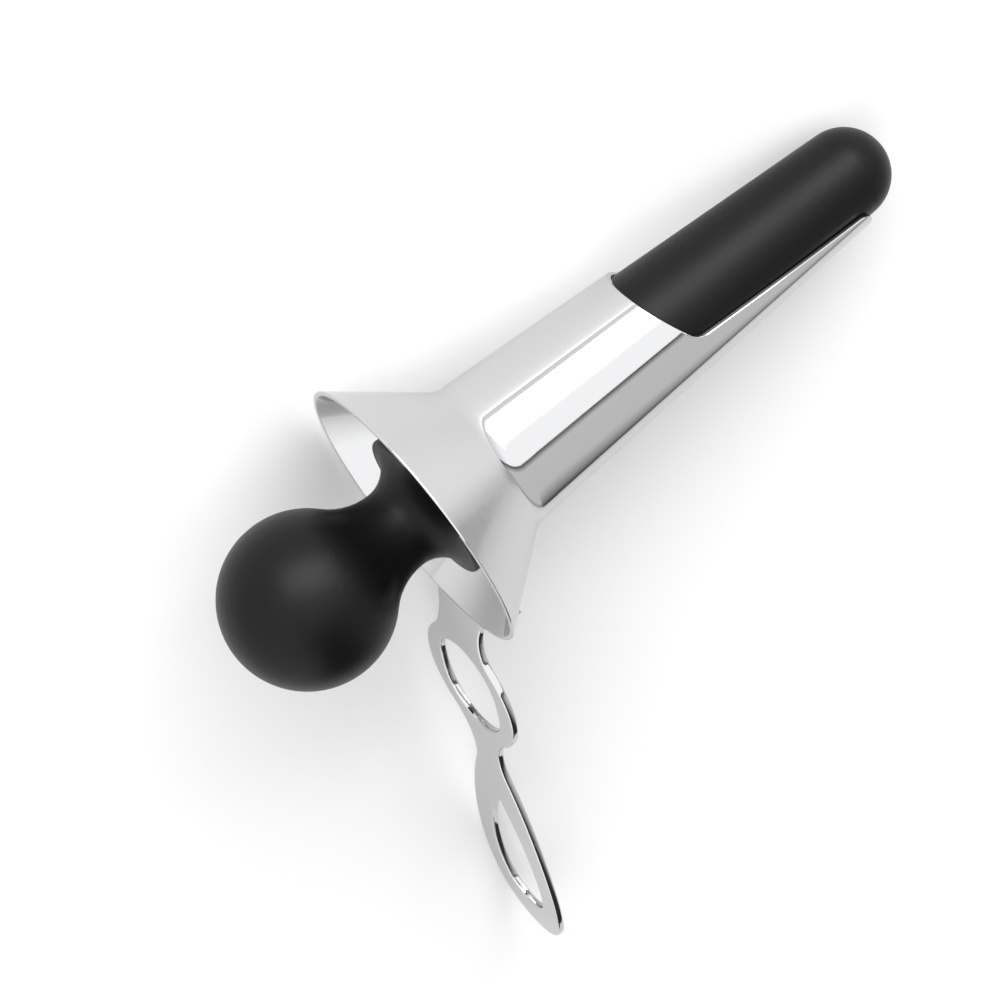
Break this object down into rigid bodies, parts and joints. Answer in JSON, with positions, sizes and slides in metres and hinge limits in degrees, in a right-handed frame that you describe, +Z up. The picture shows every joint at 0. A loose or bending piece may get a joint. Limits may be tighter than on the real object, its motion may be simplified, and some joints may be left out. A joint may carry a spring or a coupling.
{
  "type": "tubular speculum",
  "caption": "Tapered steel tube speculum with a flared funnel, a side window, a two-ring plate handle and a sliding plastic obturator.",
  "frame": {"origin": "on the table, under the middle of the instrument's bounding box as it lies on its side at rest", "axes": "+X towards the tip of the tube, +Z up from the table, -Y towards the handle; the tube points slightly down because the wide rim and the narrow tip both touch the table"},
  "size_m": [0.1798, 0.1774, 0.0675],
  "materials": {
    "polished_steel": "mirror polished stainless steel",
    "black_plastic": "smooth satin moulded plastic"
  },
  "bodies": {
    "speculum": {"funnel": "polished_steel", "tube": "polished_steel", "handle": "polished_steel"},
    "obturator": {"obturator": "black_plastic"}
  },
  "joints": [
    {"name": "obturator_slide", "type": "slide", "parent": "speculum", "child": "obturator", "axis": [-0.9836, 0, 0.1805], "range_m": [0, 0.14]}
  ]
}
